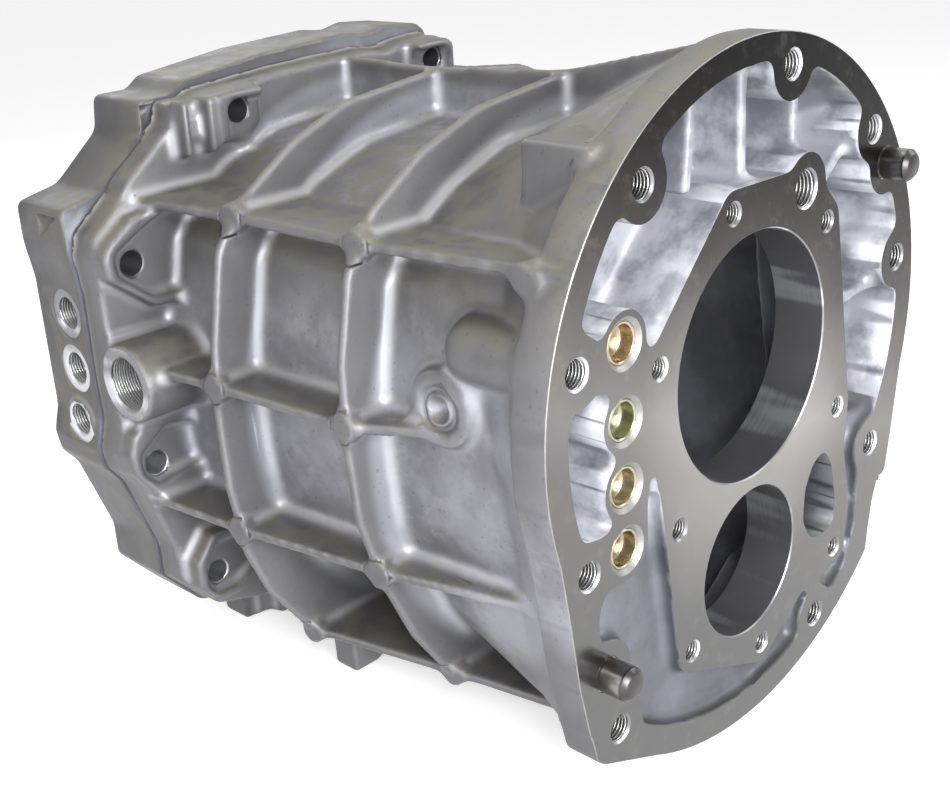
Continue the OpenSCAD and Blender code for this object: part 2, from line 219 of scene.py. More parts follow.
# Finishes
def cast_skin():
    """Cast aluminium, grey with a violet cast, stained brown where it faces up, with painted highlights on
    its fillets and crests, painted front light on faces turned forwards, painted light in the upper front
    pockets with painted shade on their downward faces, and painted shade on the inside, in the low recess,
    the window and the seam.
    """
    material, sheet, place = finish_of("cast_skin")
    facing = sheet.node("ShaderNodeTexCoord", None, None, output="Normal")
    up = sheet.node("ShaderNodeSeparateXYZ", None, {"Vector": facing}, output="Z")
    # Fillets: a painted highlight in the colour, and a lower roughness
    fillet_highlight_mask = sheet.band(sheet.attribute("relief"), 0.05, 1.9)
    # Rib crests: a painted highlight, mixed into the colour below
    crest = sheet.band(0.0 - sheet.attribute("relief"), 0.1, 0.9)
    painted_front_light = sheet.band(0.0 - up.out("Y"), 0.55, 0.95)
    pocket = sheet.attribute("pocket")
    clouds = sheet.noise(place, 16, 4, 0.6)
    mottle = sheet.noise(place, 70, 5, 0.65)
    specks = sheet.noise(place, 420, 2, 0.5)
    parts = sheet.node("ShaderNodeSeparateXYZ", None, {"Vector": place}, output="X")
    rise = parts.out("Z") - FLANGE_MIDDLE_Z
    out = ((parts * parts) + rise * rise) ** 0.5
    proud = sheet.band(out, 0.141, 0.150)
    rear = sheet.band(parts.out("Y") + (clouds - 0.5) * 0.02, 0.268, 0.286)
    grey = sheet.colours(sheet.band(clouds, 0.35, 0.65), (0.18, 0.178, 0.195), (0.30, 0.30, 0.335))
    grey = sheet.colours(sheet.band(mottle, 0.45, 0.75) * 0.5, grey, (0.37, 0.37, 0.40))
    # Faces turned to the front lightened: painted front light
    grey = sheet.colours(painted_front_light * 0.6, grey, (0.48, 0.49, 0.54))
    grey = sheet.colours(proud * 0.72, grey, (0.10, 0.098, 0.098))
    grey = sheet.colours(rear * 0.7, grey, (0.115, 0.109, 0.10))
    stain = sheet.band(up, 0.1, 0.75) * sheet.band(mottle, 0.3, 0.6)
    grey = sheet.colours(stain * 0.8, grey, (0.195, 0.183, 0.147))
    grey = sheet.colours(sheet.band(specks, 0.66, 0.72) * 0.4, grey, (0.08, 0.08, 0.085))
    # Painted highlight on the rib crests
    grey = sheet.colours(crest * 0.45, grey, (0.38, 0.38, 0.405))
    # Painted highlight on the fillets
    grey = sheet.colours(fillet_highlight_mask * 0.5, grey, (0.50, 0.505, 0.545))
    smudges = sheet.noise(place, 42, 4, 0.62)
    # Paler colours for the upper front pockets: painted light, varied by random smudges
    pale = sheet.colours(sheet.band(smudges, 0.34, 0.62), (0.22, 0.228, 0.26), (0.50, 0.515, 0.56))
    # Downward faces in the pockets darkened: painted shade
    pale = sheet.colours(sheet.band(0.0 - up, 0.2, 0.9) * 0.6, pale, (0.10, 0.10, 0.105))
    # Painted light in the upper front pockets
    grey = sheet.colours(pocket * 0.85, grey, pale)
    # Painted shade where the inner attribute marks the inside, the low recess, the window and the seam
    painted_inside_shade = sheet.colours(sheet.band(clouds, 0.4, 0.7), (0.062, 0.064, 0.075), (0.135, 0.142, 0.17))
    grey = sheet.colours(sheet.attribute("inner") * 0.8, grey, painted_inside_shade)
    rough = 0.48 - fillet_highlight_mask * 0.08 + (mottle - 0.5) * 0.25 + stain * 0.10
    dents = sheet.bump(sheet.noise(place, 120, 3, 0.5), 0.3, 0.5 * MM)
    grain = sheet.bump(specks, 0.2, 0.2 * MM, dents)
    surface(sheet, Base_Color=grey, Metallic=0.55 - pocket * 0.1, Roughness=rough, Normal=grain)
    return material


def machined_face():
    """Faced aluminium with fine cutter marks, darker towards the top, towards +x and towards its outer edge,
    which is painted reflection.
    """
    material, sheet, place = finish_of("machined_face")
    parts = sheet.node("ShaderNodeSeparateXYZ", None, {"Vector": place}, output="Z")
    height = parts + parts.out("X") * 0.35
    clouds = sheet.noise(place, 22, 4, 0.6)
    # Darker towards the top and towards +x: painted reflection
    painted_reflection_darkening = sheet.clamp(sheet.band(height + (clouds - 0.5) * 0.03, -0.13, 0.15))
    stops = [(0.0, (0.235, 0.232, 0.230)), (0.16, (0.255, 0.247, 0.234)), (0.28, (0.33, 0.322, 0.310)),
             (0.70, (0.100, 0.092, 0.086)), (0.87, (0.050, 0.046, 0.044)), (1.0, (0.027, 0.025, 0.025))]
    ramp = sheet.node("ShaderNodeValToRGB", {"stops": stops}, {"Fac": painted_reflection_darkening})
    # Darker towards the outer edge: painted reflection as well
    out = (parts.out("X") * parts.out("X") + (parts + 0.03) * (parts + 0.03)) ** 0.5
    ramp = sheet.colours(sheet.band(out + (clouds - 0.5) * 0.03, 0.04, 0.105) * 0.42, ramp, (0.0, 0.0, 0.0))
    smear = sheet.noise(place, 90, 4, 0.7)
    tone = sheet.colours(sheet.band(smear, 0.5, 0.85) * 0.16, ramp, (0.45, 0.43, 0.40))
    marks = sheet.noise(sheet.stretched(place, (60, 60, 1400)), 1.0, 2, 0.5)
    rough = 0.22 + (smear - 0.5) * 0.2
    surface(sheet, Base_Color=tone, Metallic=1.0, Roughness=rough,
            Normal=sheet.bump(marks, 0.12, 0.05 * MM))
    return material


def bored_wall():
    """A bored or drilled wall, with turning marks round its axis and painted highlights in bands along it.
    """
    material, sheet, place = finish_of("bored_wall")
    clouds = sheet.noise(place, 30, 3, 0.5)
    tone = sheet.colours(clouds, (0.17, 0.17, 0.18), (0.30, 0.30, 0.32))
    # Bright bands along the axis: painted highlight
    gleam = sheet.noise(sheet.stretched(place, (42, 5, 42)), 1.0, 2, 0.5)
    fine = sheet.noise(sheet.stretched(place, (30, 900, 30)), 1.0, 2, 0.5)
    painted_glint_streaks = sheet.band(gleam + (fine - 0.5) * 0.05, 0.51, 0.60)
    tone = sheet.colours(painted_glint_streaks * 0.85, tone, (0.62, 0.63, 0.66))
    marks = sheet.noise(sheet.stretched(place, (8, 2200, 8)), 1.0, 2, 0.5)
    surface(sheet, Base_Color=tone, Metallic=0.8, Roughness=0.3 + clouds * 0.08,
            Normal=sheet.bump(marks, 0.7, 0.07 * MM))
    return material


def broken_edge():
    """The bright narrow chamfer round a machined face."""
    material, sheet, place = finish_of("broken_edge")
    clouds = sheet.noise(place, 200, 3, 0.6)
    tone = sheet.colours(clouds, (0.20, 0.20, 0.195), (0.38, 0.38, 0.37))
    surface(sheet, Base_Color=tone, Metallic=1.0, Roughness=0.42 + clouds * 0.1)
    return material


def thread_metal():
    material, sheet, place = finish_of("thread_metal")
    clouds = sheet.noise(place, 150, 3, 0.6)
    tone = sheet.colours(clouds, (0.30, 0.30, 0.29), (0.60, 0.60, 0.58))
    surface(sheet, Base_Color=tone, Metallic=1.0, Roughness=0.24 + clouds * 0.1)
    return material


def dowel_steel():
    material, sheet, place = finish_of("dowel_steel")
    clouds = sheet.noise(place, 60, 4, 0.6)
    tone = sheet.colours(sheet.band(clouds, 0.3, 0.7), (0.17, 0.16, 0.155), (0.34, 0.33, 0.32))
    along = sheet.node("ShaderNodeSeparateXYZ", None, {"Vector": place}, output="Y")
    tone = sheet.colours(sheet.band(0.0 - along, 0.0112, 0.0124) * 0.85, tone, (0.045, 0.042, 0.045))
    marks = sheet.noise(sheet.stretched(place, (40, 1800, 40)), 1.0, 2, 0.5)
    surface(sheet, Base_Color=tone, Metallic=1.0, Roughness=0.25 + clouds * 0.1,
            Normal=sheet.bump(marks, 0.1, 0.04 * MM))
    return material


def plated_cup(name, deep, pale):
    """Yellow zinc plating, which differs a little from cup to cup."""
    material, sheet, place = finish_of(name)
    clouds = sheet.noise(place, 110, 4, 0.6)
    tone = sheet.colours(sheet.band(clouds, 0.3, 0.7), deep, pale)
    surface(sheet, Base_Color=tone, Metallic=1.0, Roughness=0.2 + clouds * 0.12,
            Normal=sheet.bump(sheet.noise(place, 500, 2, 0.5), 0.1, 0.1 * MM))
    return material


# Meshes as arrays: points, and faces as triangles
def lathe(foot, axis, profile, segments=32):
    """A closed turned solid. Its profile runs along the axis as (distance, radius)."""
    axis = np.array(axis, float) / np.linalg.norm(axis)
    side = np.cross(axis, (0.31, 0.52, 0.79))
    side /= np.linalg.norm(side)
    other = np.cross(axis, side)
    angles = np.linspace(0, 2 * math.pi, segments, endpoint=False)
    circle = np.cos(angles)[:, None] * side + np.sin(angles)[:, None] * other
    rings = [np.array(foot) + axis * t + circle * r for t, r in profile]
    ends = [np.array(foot) + axis * profile[0][0], np.array(foot) + axis * profile[-1][0]]
    points = np.vstack(rings + [ends[0][None], ends[1][None]])
    faces = []
    first, last = len(points) - 2, len(points) - 1
    top = (len(profile) - 1) * segments
    for i in range(segments):
        j = (i + 1) % segments
        faces.append((first, j, i))
        faces.append((last, top + i, top + j))
        for k in range(len(profile) - 1):
            a, b = k * segments, (k + 1) * segments
            faces.append((a + i, a + j, b + j))
            faces.append((a + i, b + j, b + i))
    return points, np.array(faces)


def joined(shells):
    """Several shells as one pair of arrays."""
    points, faces, count = [], [], 0
    for shell_points, shell_faces in shells:
        points.append(shell_points)
        faces.append(shell_faces + count)
        count += len(shell_points)
    return np.vstack(points), np.vstack(faces)


def outward(points, faces):
    """The shell with its triangles turned outwards."""
    corners = points[faces]
    volume = np.einsum("ij,ij->i", corners[:, 0], np.cross(corners[:, 1], corners[:, 2])).sum()
    return points, faces if volume > 0 else faces[:, ::-1]


def mesh_from(name, points, faces):
    mesh = bpy.data.meshes.new(name)
    mesh.from_pydata([tuple(p) for p in points.tolist()], [], [tuple(f) for f in faces.tolist()])
    mesh.validate()
    mesh.update()
    return mesh


def object_from(name, mesh):
    made = bpy.data.objects.new(name, mesh)
    scene.collection.objects.link(made)
    return made


def packed_arrays(node):
    """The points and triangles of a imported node, its doubles merged."""
    form = bmesh.new()
    form.from_mesh(frame["nodes"][node].data)
    bmesh.ops.remove_doubles(form, verts=form.verts, dist=MERGE_DISTANCE)
    bmesh.ops.triangulate(form, faces=form.faces)
    points = np.array([v.co for v in form.verts])
    faces = np.array([[v.index for v in f.verts] for f in form.faces])
    form.free()
    return points, faces


# Holes
THREAD_PITCH = {"rim_thread": 1.75 * MM, "retainer_thread": 1.5 * MM, "pivot_thread": 2.0 * MM,
                "filler_thread": 1.5 * MM, "switch_thread": 1.5 * MM}
OVERRUN = 12 * MM
CHAMFER = 1.1 * MM
BORE_EDGE = 0.6 * MM
PIN_CLEARANCE = 0.05 * MM
THREAD_REACH = 20 * MM
THREAD_DEPTH_SHARE = 0.55
SPOT_DEPTH = 0.4 * MM
SPOT_MARGIN = {"filler_thread": 6.0 * MM, "switch_thread": 4.3 * MM}


def family(name):
    return name.rstrip("0123456789").rstrip("_")


def holes_of(kind):
    """(name, mouth, direction into the metal, radius, depth) of each hole of a kind of mount."""
    found = []
    for name, mount in mounts.items():
        if mount["kind"] != kind:
            continue
        axis = Vector(mount["axis"])
        inward = axis if name.startswith("rear_bolt") else -axis
        radius = mount["dims"]["r_mm"] * MM
        length = mount["dims"]["length_mm"] * MM
        mouth = Vector(mount["pos_m"]) - inward * length / 2
        if axis.y < -0.5:
            mouth.y = FRONT_Y
            length = max(length, 24 * MM) if kind == "bore" else length + 2 * MM
        found.append((name, mouth, inward, radius, min(length, 63 * MM)))
    return found


def thread_crest(name, radius):
    return radius + THREAD_DEPTH_SHARE * THREAD_PITCH[family(name)]


def threaded_cutter(name, mouth, inward, radius, depth):
    """A tapping hole with a chamfered mouth, which has a spot face where it is in the side of the case."""
    crest = thread_crest(name, radius)
    profile = [(-OVERRUN, crest + CHAMFER + 0.1 * MM), (0, crest + CHAMFER - 0.4 * MM),
               (CHAMFER, crest - 0.3 * MM), (depth, crest), (depth + 0.4 * radius, 0.2 * MM)]
    if family(name) in SPOT_MARGIN:
        spot = crest + SPOT_MARGIN[family(name)]
        profile[0] = (-OVERRUN, spot)
        profile.insert(1, (SPOT_DEPTH, spot))
        profile[2] = (SPOT_DEPTH + 0.01 * MM, crest + CHAMFER - 0.4 * MM)
    if name.startswith("filler"):
        profile[-2:] = [(depth + 8 * MM, crest)]
    return lathe(mouth, inward, profile, 48)


def plain_cutter(name, mouth, inward, radius, depth):
    """A bearing bore or a long bolt's hole."""
    if name.startswith("rear_bolt_hole"):
        profile = [(-10 * MM, radius + 0.5 * MM), (0, radius + 0.5 * MM), (0.5 * MM, radius),
                   (depth + 20 * MM, radius)]
        return lathe(mouth, inward, profile, 40)
    profile = [(-OVERRUN, radius + BORE_EDGE), (0, radius + BORE_EDGE), (BORE_EDGE, radius),
               (depth + 14 * MM, radius)]
    return lathe(mouth, inward, profile, 160)


def pin_places():
    """(middle, radius, depth, mouth's radius) of the bores that hold the dowels and the cup plugs."""
    places = []
    for node in frame["nodes"]:
        if node == "case":
            continue
        low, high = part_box(node)
        middle = Vector(((low.x + high.x) / 2, 0, (low.z + high.z) / 2))
        radius = (high.x - low.x) / 2
        edge = 0.5 * MM if "dowel" in node else 2.2 * MM
        places.append((middle, radius, high.y, edge))
    return places


def pin_cutter(middle, radius, depth, edge):
    profile = [(-OVERRUN, radius + edge), (0, radius + edge), (edge * 0.8, radius + PIN_CLEARANCE),
               (depth + 0.2 * MM, radius + PIN_CLEARANCE)]
    return lathe(middle, (0, 1, 0), profile, 48)


# Small forms that are cut crisp after the skin is poured
DIMPLE_AT = Vector((-138 * MM, 69 * MM, 3 * MM))
RING_RIB_Y = (110 * MM, 198 * MM)
SIDE_RIB_Z = (70 * MM, -9 * MM, -87 * MM, -163 * MM)
BUTTON_RADIUS = 7.5 * MM
BUTTON_GROOVE = 1.0 * MM
SEAM_Y = (281.2 * MM, 283.2 * MM)
UPPER_EAR_POCKET = ((-127.5, 113.5), (-120.5, 113.0), (-127.5, 101.5))
LOWER_EAR_POCKET = ((287.0, 67.0), (308.5, 67.0), (307.5, 53.5))


def washer_shell(foot, axis, inner, outer, low, high, segments=40):
    """A closed ring with a square section, between two radii and two distances along the axis."""
    sides = []
    for radius in (inner, outer):
        points, _ = lathe(foot, axis, [(low, radius), (high, radius)], segments)
        sides.append(points[:2 * segments])
    points = np.vstack(sides)
    corners = (0, 1, 3, 2)
    faces = []
    for i in range(segments):
        j = (i + 1) % segments
        for k in range(4):
            a, b = corners[k] * segments, corners[(k + 1) % 4] * segments
            faces.append((a + i, b + j, a + j))
            faces.append((a + i, b + i, b + j))
    return outward(points, np.array(faces))


def tapered_prism(mouth, floor):
    """A closed solid between two polygons with as many corners."""
    count = len(mouth)
    faces = []
    for i in range(count):
        j = (i + 1) % count
        faces.append((i, j, count + j))
        faces.append((i, count + j, count + i))
    for i in range(1, count - 1):
        faces.append((0, i + 1, i))
        faces.append((count, count + i, count + i + 1))
    return outward(np.vstack([mouth, floor]), np.array(faces))


def drafted(corners, share):
    """A polygon drawn in towards its middle."""
    middle = np.mean(corners, axis=0)
    return [middle + (np.array(corner) - middle) * share for corner in corners]


def ear_pocket_cutters():
    """The triangular pockets in the upper ear's front and in the lower ear's side."""
    step_y = SEAM_Y[1] / MM
    pockets = []
    for corners, near, deep, place in (
            (UPPER_EAR_POCKET, step_y - 0.8, step_y + 6, lambda u, v, w: (u, w, v)),
            (LOWER_EAR_POCKET, -186.0, -176.5, lambda u, v, w: (w, u, v))):
        mouth = [place(*corner, near) for corner in drafted(corners, 1.1)]
        floor = [place(*corner, deep) for corner in drafted(corners, 0.72)]
        pockets.append(tapered_prism(np.array(mouth) * MM, np.array(floor) * MM))
    return pockets


def dimple_cutters():
    """The dimple in the round boss and the groove round its hub."""
    inward = (1, 0, 0)
    hole = lathe(DIMPLE_AT, inward, [(-4 * MM, 6.6 * MM), (0.8 * MM, 6.2 * MM), (1.6 * MM, 4.6 * MM),
                                     (5.0 * MM, 3.6 * MM), (6.4 * MM, 0.6 * MM)], 40)
    groove = washer_shell(DIMPLE_AT, inward, 7.6 * MM, 10.8 * MM, -4 * MM, 2.2 * MM)
    return [hole, groove]


def button_grooves(points):
    """Fine grooves round the buttons where the ribs cross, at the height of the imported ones."""
    grooves = []
    for level in SIDE_RIB_Z:
        for station in RING_RIB_Y:
            off = np.hypot(points[:, 1] - station, points[:, 2] - level)
            for side in (-1, 1):
                near = points[(off < BUTTON_RADIUS + 0.2 * MM) & (points[:, 0] * side > 60 * MM)]
                top = (near[:, 0] * side).max() * side
                grooves.append(washer_shell((top, station, level), (-side, 0, 0), BUTTON_RADIUS,
                                            BUTTON_RADIUS + BUTTON_GROOVE, -6 * MM, 1.6 * MM))
    return grooves


def seam_cutter(name):
    """A thin slab behind the bolting flange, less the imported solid's own section there."""
    form = bmesh.new()
    form.from_mesh(frame["nodes"]["case"].data)
    bmesh.ops.remove_doubles(form, verts=form.verts, dist=MERGE_DISTANCE)
    middle = (SEAM_Y[0] + SEAM_Y[1]) / 2
    cut_parts = bmesh.ops.bisect_plane(form, geom=form.verts[:] + form.edges[:] + form.faces[:],
                                       plane_co=(0, middle, 0), plane_no=(0, 1, 0))["geom_cut"]
    after = {}
    for edge in cut_parts:
        if isinstance(edge, bmesh.types.BMEdge):
            a, b = edge.verts
            after.setdefault(a, []).append(b)
            after.setdefault(b, []).append(a)
    start = min(after, key=lambda vert: vert.co.x)
    loop = [start, after[start][0]]
    while True:
        options = [vert for vert in after[loop[-1]] if vert is not loop[-2]]
        if not options or options[0] is start:
            break
        loop.append(options[0])
    ring = np.array([vert.co for vert in loop])
    form.free()
    form = bmesh.new()
    corners = [form.verts.new((x, SEAM_Y[0] - MM, z)) for x, _, z in ring]
    bottom = form.faces.new(corners)
    grown = bmesh.ops.extrude_face_region(form, geom=[bottom])["geom"]
    for vert in grown:
        if isinstance(vert, bmesh.types.BMVert):
            vert.co.y = SEAM_Y[1] + MM
    bmesh.ops.triangulate(form, faces=form.faces)
    bmesh.ops.recalc_face_normals(form, faces=form.faces)
    form.verts.index_update()
    core_points = np.array([v.co for v in form.verts])
    core_faces = np.array([[v.index for v in f.verts] for f in form.faces])
    form.free()
    thin = object_from(name, mesh_from(name, *slab(*SEAM_Y)))
    cut(thin, [(core_points, core_faces)], name + "_core")
    return thin


# The casting's blank
RIM_EDGE = 0.4 * MM
VOXEL = 1.4 * MM
SKIN_TRIANGLES = 165000
STOCK = 4.0 * MM
EDGE_RADIUS = 0.9 * MM
POCKET_FILLET = 3.5 * MM
BODY_FILLET = 5.0 * MM


def hole_plugs():
    """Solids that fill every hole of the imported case, so that the blank has none."""
    plugs = []
    for kind in ("threaded_hole", "bore"):
        for name, mouth, inward, radius, depth in holes_of(kind):
            reach = 3 * MM if kind == "bore" else 4 * MM
            profile = [(-STOCK, radius + 2.2 * MM), (depth + reach, radius + 2.2 * MM)]
            if inward.y < 0.5:
                profile[0] = (0.2 * MM, radius + 2.2 * MM)
            if name.startswith("rear_bolt"):
                profile = [(1.2 * MM, radius + 0.4 * MM), (depth + reach, radius + 0.4 * MM)]
            plugs.append(lathe(mouth, inward, profile))
    for middle, radius, depth, edge in pin_places():
        profile = [(-STOCK, radius + 1.6 * MM), (depth + 3 * MM, radius + 1.6 * MM)]
        plugs.append(lathe(middle, (0, 1, 0), profile))
    plugs.append(lathe(DIMPLE_AT, (1, 0, 0), [(0, 12 * MM), (10 * MM, 12 * MM)]))
    return plugs


def flat_face(points, faces, level):
    """The solid's flat face at y = level: its points, triangles and the directed edges of its outline."""
    flat = faces[np.abs(points[faces][:, :, 1] - level).max(axis=1) < 0.02 * MM]
    used, index = np.unique(flat, return_inverse=True)
    index = index.reshape(-1, 3)
    pairs = {(a, b) for f in index for a, b in ((f[0], f[1]), (f[1], f[2]), (f[2], f[0]))}
    return points[used], index, sorted((a, b) for a, b in pairs if (b, a) not in pairs)


def face_stock(points, faces, level, sense):
    """A slab of stock on the flat face of the solid at y = level."""
    face_points, index, outline = flat_face(points, faces, level)
    outer = face_points.copy()
    inner = face_points.copy()
    outer[:, 1] = level + sense * STOCK
    inner[:, 1] = level - sense * MM
    count = len(face_points)
    walls = []
    for a, b in outline:
        walls.append((a, count + a, b))
        walls.append((b, count + a, count + b))
    shell = np.vstack([index, index[:, ::-1] + count, np.array(walls)])
    return np.vstack([outer, inner]), shell


def rim_edge_cutter(points, faces):
    """A closed ring that breaks the outer edge of the front face."""
    face_points, _, outline = flat_face(points, faces, FRONT_Y)
    after = dict(outline)
    start = int(np.argmax(face_points[:, 2]))
    loop = [start]
    while after[loop[-1]] != start:
        loop.append(after[loop[-1]])
    ring = face_points[loop]
    step = np.linalg.norm(np.roll(ring, -1, axis=0) - ring, axis=1)
    ring = ring[step > 0.4 * MM]
    along = np.roll(ring, -1, axis=0) - np.roll(ring, 1, axis=0)
    out = np.stack([along[:, 2], np.zeros(len(ring)), -along[:, 0]], axis=1)
    out /= np.linalg.norm(out, axis=1)[:, None]
    if (out * (ring - ring.mean(axis=0))).sum() < 0:
        out = -out
    deep = np.array((0.0, 1.0, 0.0))
    corners = [ring - out * 2 * RIM_EDGE - deep * RIM_EDGE, ring + out * 2 * RIM_EDGE - deep * RIM_EDGE,
               ring + out * 2 * RIM_EDGE + deep * 3 * RIM_EDGE]
    count = len(ring)
    shell = []
    for i in range(count):
        j = (i + 1) % count
        for k in range(3):
            a, b = k * count, (k + 1) % 3 * count
            shell.append((a + i, a + j, b + j))
            shell.append((a + i, b + j, b + i))
    return outward(np.vstack(corners), np.array(shell))


def level_set(points, band, triangles=None, quads=None):
    given = {}
    if triangles is not None:
        given["triangles"] = np.ascontiguousarray(triangles, np.uint32)
    if quads is not None:
        given["quads"] = np.ascontiguousarray(quads, np.uint32)
    return openvdb.FloatGrid.createLevelSetFromPolygons(
        np.ascontiguousarray(points, np.float32),
        transform=openvdb.createLinearTransform(voxelSize=VOXEL),
        halfWidth=band / VOXEL + 2.5, **given)


def dense(grid, low, shape):
    values = np.zeros(shape, np.float32)
    grid.copyToArray(values, ijk=tuple(int(v) for v in low))
    return values


def fillet_radius(low, shape):
    """Fillet radius at each voxel, larger over the body than at the pockets and the rear flange."""
    y = (np.arange(shape[1]) + int(low[1])) * VOXEL
    share = np.clip((y - 30 * MM) / (40 * MM), 0, 1) * np.clip((REAR_Y - 50 * MM - y) / (30 * MM), 0, 1)
    radius = POCKET_FILLET + (BODY_FILLET - POCKET_FILLET) * share
    return np.broadcast_to(radius.astype(np.float32)[None, :, None], shape)


def shifted(grid, low, shape, amount, sign):
    """The surface where the field equals sign times amount, as points and quads."""
    values = dense(grid, low, shape) - sign * amount
    moved = openvdb.FloatGrid(float(values.max()))
    moved.transform = grid.transform
    moved.copyFromArray(values, ijk=tuple(int(v) for v in low))
    return moved.convertToQuads(isovalue=0.0)


def sampled(values, low, points):
    """Field values at points, by their eight nearest voxels."""
    place = points / VOXEL - low
    base = np.clip(np.floor(place).astype(int), 0, np.array(values.shape) - 2)
    part = np.clip(place - base, 0, 1)
    total = np.zeros(len(points))
    for corner in range(8):
        step = np.array([(corner >> k) & 1 for k in range(3)])
        weight = np.prod(np.where(step, part, 1 - part), axis=1)
        at = base + step
        total += weight * values[at[:, 0], at[:, 1], at[:, 2]]
    return total


def cast_blank():
    """The blank as points, quads and triangles, with the field of the sharp solid to compare it with."""
    points, faces = packed_arrays("case")
    shells = [(points, faces)] + hole_plugs()
    shells.append(face_stock(points, faces, FRONT_Y, -1))
    shells.append(face_stock(points, faces, REAR_Y, 1))
    all_points, all_faces = joined(shells)
    margin = BODY_FILLET + 4 * VOXEL
    low = np.floor((all_points.min(axis=0) - margin) / VOXEL).astype(int)
    high = np.ceil((all_points.max(axis=0) + margin) / VOXEL).astype(int)
    shape = tuple(int(n) for n in high - low + 1)
    sharp = level_set(all_points, BODY_FILLET, triangles=all_faces)
    radius = fillet_radius(low, shape)
    grown_points, grown_quads = shifted(sharp, low, shape, radius, 1)
    grown = level_set(grown_points, BODY_FILLET + EDGE_RADIUS, quads=grown_quads)
    core_points, core_quads = shifted(grown, low, shape, radius + EDGE_RADIUS, -1)
    core = level_set(core_points, EDGE_RADIUS, quads=core_quads)
    skin, quads = core.convertToQuads(isovalue=EDGE_RADIUS)
    return (skin, quads[:, ::-1]), dense(sharp, low, shape), low


def blank_object():
    """The blank as an object, thinned where it is flat, with its height over the sharp solid."""
    (points, quads), field, low = cast_blank()
    mesh = bpy.data.meshes.new("case_casting")
    mesh.from_pydata(points.tolist(), [], quads.tolist())
    blank = object_from("case_casting", mesh)
    thinned = blank.modifiers.new("thinned", "DECIMATE")
    thinned.ratio = SKIN_TRIANGLES / (2 * len(quads))
    graph = bpy.context.evaluated_depsgraph_get()
    blank.data = bpy.data.meshes.new_from_object(blank.evaluated_get(graph))
    blank.modifiers.clear()
    kept = np.zeros(len(blank.data.vertices) * 3)
    blank.data.vertices.foreach_get("co", kept)
    relief = sampled(field, low, kept.reshape(-1, 3)) / MM
    stored = blank.data.attributes.new("relief", "FLOAT", "POINT")
    stored.data.foreach_set("value", relief.astype(np.float32))
    return blank


# Machining
def cut(blank, cutters, name):
    """Cuts closed shells that don't meet each other out of the blank."""
    cut_with(blank, object_from(name, mesh_from(name, *joined(cutters))), name)


def cut_with(blank, tool, name):
    modifier = blank.modifiers.new(name, "BOOLEAN")
    modifier.operation = "DIFFERENCE"
    modifier.solver = "MANIFOLD"
    modifier.object = tool
    graph = bpy.context.evaluated_depsgraph_get()
    blank.data = bpy.data.meshes.new_from_object(blank.evaluated_get(graph))
    blank.modifiers.clear()
    bpy.data.objects.remove(tool)


def slab(low_y, high_y):
    """A box across the whole part between two levels of y."""
    far = 0.4
    return lathe((0, low_y, -0.03), (0, 1, 0), [(0, far), (high_y - low_y, far)], 24)


def machine(blank):
    cut(blank, [slab(FRONT_Y - 0.05, FRONT_Y), slab(REAR_Y, REAR_Y + 0.05)], "facing_cutter")
    cutters = [threaded_cutter(*hole) for hole in holes_of("threaded_hole")]
    cutters += [plain_cutter(*hole) for hole in holes_of("bore")]
    cutters += [pin_cutter(*place) for place in pin_places()]
    cut(blank, cutters, "drills")
    points, faces = packed_arrays("case")
    cut(blank, [rim_edge_cutter(points, faces)], "edge_cutter")
    cut(blank, dimple_cutters() + ear_pocket_cutters() + button_grooves(points), "form_cutters")
    cut_with(blank, seam_cutter("seam_cutter"), "seam_cutter")


# Finishes of the casting, in the order of its material slots
CAST, FACED, BORED, BROKEN = range(4)

# Where the rim's edge, the front pockets, the recess below the pad and the window lie
RIM_MIDDLE_Z = -12 * MM
RIM_INNER = 128 * MM
LOBE_Z = -25 * MM
POCKET_LEVEL = 40 * MM
POCKET_OUT = 162 * MM
NEAR_OUT = 130 * MM
BELOW_PAD_OUT = 155 * MM
LOW_RECESS_TOP = -50 * MM
LOW_RECESS_FADE = 22 * MM
WINDOW_AT = (70 * MM, -97 * MM)
WINDOW_HALF = (18 * MM, 21 * MM)


def with_clear_way(blank, points, asked, ways):
    """Which of the asked points have nothing in their way, so that hollows are told from the outside."""
    tree = BVHTree.FromObject(blank, bpy.context.evaluated_depsgraph_get())
    normals = np.zeros(len(points) * 3)
    blank.data.vertices.foreach_get("normal", normals)
    starts = points + normals.reshape(-1, 3) * 0.4 * MM
    clear = np.zeros(len(points), bool)
    for index in np.flatnonzero(asked):
        way = Vector(ways[index])
        clear[index] = tree.ray_cast(Vector(starts[index]), way.normalized(), way.length)[0] is None
    return clear


